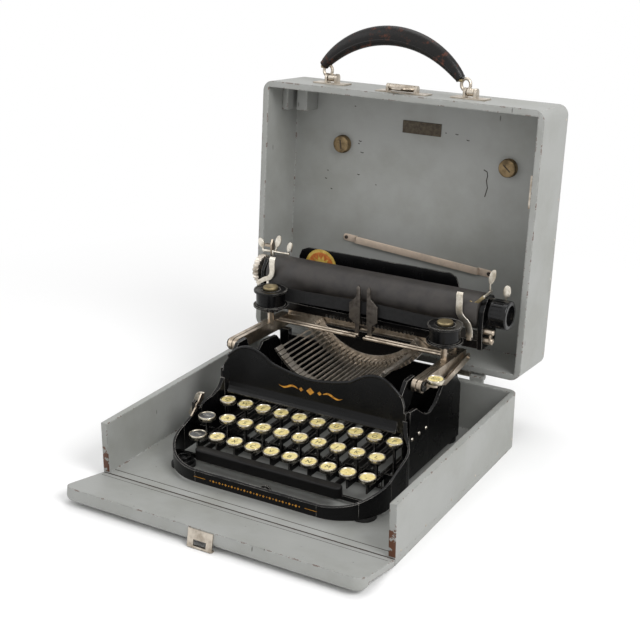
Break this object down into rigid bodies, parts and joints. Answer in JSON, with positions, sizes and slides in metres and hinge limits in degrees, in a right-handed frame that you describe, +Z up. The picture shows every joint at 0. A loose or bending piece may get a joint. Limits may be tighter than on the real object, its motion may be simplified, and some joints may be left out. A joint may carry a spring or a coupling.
{
  "type": "portable typewriter in carrying case",
  "caption": "Folding portable typewriter in its open grey carrying case: keyboard, type basket, folding carriage, hinged lid with handle and drop front flap.",
  "frame": {"origin": "centre of the case tray's underside, on the table", "axes": "+X towards the platen knob (typist's right), +Y from the typist towards the lid, +Z up"},
  "size_m": [0.29, 0.392, 0.3692],
  "materials": {
    "case_board": "satin",
    "case_nickel": "satin",
    "bronze_fittings": "satin",
    "leather": "satin",
    "black_enamel": "gloss",
    "foot_rubber": "matte",
    "worn_nickel": "satin",
    "bar_steel": "satin",
    "key_nickel": "satin",
    "platen_rubber": "matte",
    "knob_black": "gloss",
    "ribbon_cloth": "matte"
  },
  "bodies": {
    "case": {"case_tray": "case_board", "machine_frame": "black_enamel", "front_panel": "black_enamel", "rubber_feet": "foot_rubber", "key_comb": "black_enamel", "type_segment": "worn_nickel", "typebars": "bar_steel"},
    "flap": {"case_flap": "case_board", "catch_plate": "case_nickel"},
    "lid": {"lid_shell": "case_board", "lid_fittings": "bronze_fittings", "lid_hardware": "case_nickel"},
    "latch": {"latch_lever": "case_nickel"},
    "handle": {"handle_grip": "leather"},
    "space_bar": {"space_bar": "black_enamel"},
    "cap_key": {"cap_key": "key_nickel"},
    "fig_key": {"fig_key": "key_nickel"},
    "back_space": {"back_space_key": "key_nickel"},
    "margin_lever": {"margin_lever": "worn_nickel"},
    "typebar": {"typebar_demo": "bar_steel"},
    "cradle": {"fold_arms": "worn_nickel", "ribbon": "ribbon_cloth"},
    "carriage": {"carriage_frame": "black_enamel", "paper_table": "black_enamel", "paper_fingers": "worn_nickel", "carriage_levers": "worn_nickel"},
    "roller": {"platen": "platen_rubber", "platen_knob": "knob_black"},
    "spool_l": {"spool_left": "black_enamel"},
    "spool_r": {"spool_right": "black_enamel"},
    "vibrator": {"vibrator": "bar_steel"},
    "line_space": {"line_space_lever": "worn_nickel"},
    "key_1_1": {"key_1_1": "key_nickel"},
    "key_1_2": {"key_1_2": "key_nickel"},
    "key_1_3": {"key_1_3": "key_nickel"},
    "key_1_4": {"key_1_4": "key_nickel"},
    "key_1_5": {"key_1_5": "key_nickel"},
    "key_1_6": {"key_1_6": "key_nickel"},
    "key_1_7": {"key_1_7": "key_nickel"},
    "key_1_8": {"key_1_8": "key_nickel"},
    "key_1_9": {"key_1_9": "key_nickel"},
    "key_1_10": {"key_1_10": "key_nickel"},
    "key_2_1": {"key_2_1": "key_nickel"},
    "key_2_2": {"key_2_2": "key_nickel"},
    "key_2_3": {"key_2_3": "key_nickel"},
    "key_2_4": {"key_2_4": "key_nickel"},
    "key_2_5": {"key_2_5": "key_nickel"},
    "key_2_6": {"key_2_6": "key_nickel"},
    "key_2_7": {"key_2_7": "key_nickel"},
    "key_2_8": {"key_2_8": "key_nickel"},
    "key_2_9": {"key_2_9": "key_nickel"},
    "key_3_1": {"key_3_1": "key_nickel"},
    "key_3_2": {"key_3_2": "key_nickel"},
    "key_3_3": {"key_3_3": "key_nickel"},
    "key_3_4": {"key_3_4": "key_nickel"},
    "key_3_5": {"key_3_5": "key_nickel"},
    "key_3_6": {"key_3_6": "key_nickel"},
    "key_3_7": {"key_3_7": "key_nickel"},
    "key_3_8": {"key_3_8": "key_nickel"},
    "key_3_9": {"key_3_9": "key_nickel"}
  },
  "joints": [
    {"name": "lid_hinge", "type": "hinge", "parent": "case", "child": "lid", "pos_m": [0, 0.129, 0.05865], "axis": [1, 0, 0], "range_deg": [0, 94.9]},
    {"name": "flap_hinge", "type": "hinge", "parent": "case", "child": "flap", "pos_m": [0, -0.1255, 0.006], "axis": [-1, 0, 0], "range_deg": [0, 78.5]},
    {"name": "carriage_fold", "type": "hinge", "parent": "case", "child": "cradle", "pos_m": [0, 0.013, 0.091], "axis": [1, 0, 0], "range_deg": [0, 178]},
    {"name": "latch_pivot", "type": "hinge", "parent": "lid", "child": "latch", "pos_m": [-0.001, 0.16074, 0.31588], "axis": [-1, 0, 0], "range_deg": [0, 49]},
    {"name": "handle_pivot", "type": "hinge", "parent": "lid", "child": "handle", "pos_m": [-0.011, 0.17477, 0.31568], "axis": [-1, 0, 0], "range_deg": [-50, 70]},
    {"name": "carriage_slide", "type": "slide", "parent": "cradle", "child": "carriage", "axis": [1, 0, 0], "range_m": [-0.105, 0]},
    {"name": "platen_turn", "type": "hinge", "parent": "carriage", "child": "roller", "pos_m": [0, 0.11, 0.132], "axis": [1, 0, 0], "continuous": true},
    {"name": "line_space_swing", "type": "hinge", "parent": "carriage", "child": "line_space", "pos_m": [-0.1196, 0.119, 0.139], "axis": [1, 0, 0], "range_deg": [0, 14]},
    {"name": "spool_left_turn", "type": "hinge", "parent": "cradle", "child": "spool_l", "pos_m": [-0.092, 0.071, 0.118], "axis": [0, 0, 1], "continuous": true},
    {"name": "spool_right_turn", "type": "hinge", "parent": "cradle", "child": "spool_r", "pos_m": [0.092, 0.071, 0.118], "axis": [0, 0, 1], "continuous": true},
    {"name": "vibrator_lift", "type": "slide", "parent": "cradle", "child": "vibrator", "axis": [0, 0, 1], "range_m": [0, 0.006]},
    {"name": "space_bar_press", "type": "hinge", "parent": "case", "child": "space_bar", "pos_m": [0, 0.084, 0.0205], "axis": [-1, 0, 0], "range_deg": [-2, 0]},
    {"name": "cap_press", "type": "hinge", "parent": "case", "child": "cap_key", "pos_m": [-0.0882, 0.084, 0.0205], "axis": [-1, 0, 0], "range_deg": [-3.4, 0]},
    {"name": "fig_press", "type": "hinge", "parent": "case", "child": "fig_key", "pos_m": [-0.0846, 0.084, 0.0205], "axis": [-1, 0, 0], "range_deg": [-3, 0]},
    {"name": "back_space_press", "type": "hinge", "parent": "cradle", "child": "back_space", "pos_m": [0.1026, 0.1, 0.088], "axis": [-1, 0, 0], "range_deg": [-3, 0]},
    {"name": "margin_swing", "type": "hinge", "parent": "case", "child": "margin_lever", "pos_m": [-0.1035, -0.038, 0.046], "axis": [-1, 0, 0], "range_deg": [0, 25]},
    {"name": "press_1_1", "type": "hinge", "parent": "case", "child": "key_1_1", "pos_m": [-0.0815, 0.084, 0.0205], "axis": [-1, 0, 0], "range_deg": [-4.2, 0]},
    {"name": "press_1_2", "type": "hinge", "parent": "case", "child": "key_1_2", "pos_m": [-0.06245, 0.084, 0.0205], "axis": [-1, 0, 0], "range_deg": [-4.2, 0]},
    {"name": "press_1_3", "type": "hinge", "parent": "case", "child": "key_1_3", "pos_m": [-0.0434, 0.084, 0.0205], "axis": [-1, 0, 0], "range_deg": [-4.2, 0]},
    {"name": "press_1_4", "type": "hinge", "parent": "case", "child": "key_1_4", "pos_m": [-0.02435, 0.084, 0.0205], "axis": [-1, 0, 0], "range_deg": [-4.2, 0]},
    {"name": "press_1_5", "type": "hinge", "parent": "case", "child": "key_1_5", "pos_m": [-0.0053, 0.084, 0.0205], "axis": [-1, 0, 0], "range_deg": [-4.2, 0]},
    {"name": "press_1_6", "type": "hinge", "parent": "case", "child": "key_1_6", "pos_m": [0.01375, 0.084, 0.0205], "axis": [-1, 0, 0], "range_deg": [-4.2, 0]},
    {"name": "press_1_7", "type": "hinge", "parent": "case", "child": "key_1_7", "pos_m": [0.0328, 0.084, 0.0205], "axis": [-1, 0, 0], "range_deg": [-4.2, 0]},
    {"name": "press_1_8", "type": "hinge", "parent": "case", "child": "key_1_8", "pos_m": [0.05185, 0.084, 0.0205], "axis": [-1, 0, 0], "range_deg": [-4.2, 0]},
    {"name": "press_1_9", "type": "hinge", "parent": "case", "child": "key_1_9", "pos_m": [0.0709, 0.084, 0.0205], "axis": [-1, 0, 0], "range_deg": [-4.2, 0]},
    {"name": "press_1_10", "type": "hinge", "parent": "case", "child": "key_1_10", "pos_m": [0.08995, 0.084, 0.0205], "axis": [-1, 0, 0], "range_deg": [-4.2, 0]},
    {"name": "press_2_1", "type": "hinge", "parent": "case", "child": "key_2_1", "pos_m": [-0.069, 0.084, 0.0205], "axis": [-1, 0, 0], "range_deg": [-3.6, 0]},
    {"name": "press_2_2", "type": "hinge", "parent": "case", "child": "key_2_2", "pos_m": [-0.04995, 0.084, 0.0205], "axis": [-1, 0, 0], "range_deg": [-3.6, 0]},
    {"name": "press_2_3", "type": "hinge", "parent": "case", "child": "key_2_3", "pos_m": [-0.0309, 0.084, 0.0205], "axis": [-1, 0, 0], "range_deg": [-3.6, 0]},
    {"name": "press_2_4", "type": "hinge", "parent": "case", "child": "key_2_4", "pos_m": [-0.01185, 0.084, 0.0205], "axis": [-1, 0, 0], "range_deg": [-3.6, 0]},
    {"name": "press_2_5", "type": "hinge", "parent": "case", "child": "key_2_5", "pos_m": [0.0072, 0.084, 0.0205], "axis": [-1, 0, 0], "range_deg": [-3.6, 0]},
    {"name": "press_2_6", "type": "hinge", "parent": "case", "child": "key_2_6", "pos_m": [0.02625, 0.084, 0.0205], "axis": [-1, 0, 0], "range_deg": [-3.6, 0]},
    {"name": "press_2_7", "type": "hinge", "parent": "case", "child": "key_2_7", "pos_m": [0.0453, 0.084, 0.0205], "axis": [-1, 0, 0], "range_deg": [-3.6, 0]},
    {"name": "press_2_8", "type": "hinge", "parent": "case", "child": "key_2_8", "pos_m": [0.06435, 0.084, 0.0205], "axis": [-1, 0, 0], "range_deg": [-3.6, 0]},
    {"name": "press_2_9", "type": "hinge", "parent": "case", "child": "key_2_9", "pos_m": [0.0834, 0.084, 0.0205], "axis": [-1, 0, 0], "range_deg": [-3.6, 0]},
    {"name": "press_3_1", "type": "hinge", "parent": "case", "child": "key_3_1", "pos_m": [-0.0665, 0.084, 0.0205], "axis": [-1, 0, 0], "range_deg": [-3.1, 0]},
    {"name": "press_3_2", "type": "hinge", "parent": "case", "child": "key_3_2", "pos_m": [-0.04745, 0.084, 0.0205], "axis": [-1, 0, 0], "range_deg": [-3.1, 0]},
    {"name": "press_3_3", "type": "hinge", "parent": "case", "child": "key_3_3", "pos_m": [-0.0284, 0.084, 0.0205], "axis": [-1, 0, 0], "range_deg": [-3.1, 0]},
    {"name": "press_3_4", "type": "hinge", "parent": "case", "child": "key_3_4", "pos_m": [-0.00935, 0.084, 0.0205], "axis": [-1, 0, 0], "range_deg": [-3.1, 0]},
    {"name": "press_3_5", "type": "hinge", "parent": "case", "child": "key_3_5", "pos_m": [0.0097, 0.084, 0.0205], "axis": [-1, 0, 0], "range_deg": [-3.1, 0]},
    {"name": "press_3_6", "type": "hinge", "parent": "case", "child": "key_3_6", "pos_m": [0.02875, 0.084, 0.0205], "axis": [-1, 0, 0], "range_deg": [-3.1, 0]},
    {"name": "press_3_7", "type": "hinge", "parent": "case", "child": "key_3_7", "pos_m": [0.0478, 0.084, 0.0205], "axis": [-1, 0, 0], "range_deg": [-3.1, 0]},
    {"name": "press_3_8", "type": "hinge", "parent": "case", "child": "key_3_8", "pos_m": [0.06685, 0.084, 0.0205], "axis": [-1, 0, 0], "range_deg": [-3.1, 0]},
    {"name": "press_3_9", "type": "hinge", "parent": "case", "child": "key_3_9", "pos_m": [0.0859, 0.084, 0.0205], "axis": [-1, 0, 0], "range_deg": [-3.1, 0]},
    {"name": "typebar_swing", "type": "hinge", "parent": "case", "child": "typebar", "pos_m": [0.00241, 0.095, 0.06104], "axis": [-0.9994, 0, -0.0349], "range_deg": [0, 82.5]}
  ],
  "couplings": [
    {"joint": "carriage_fold", "follows": "lid_hinge", "ratio": 1.875},
    {"joint": "typebar_swing", "follows": "press_2_4", "ratio": -22.9}
  ]
}
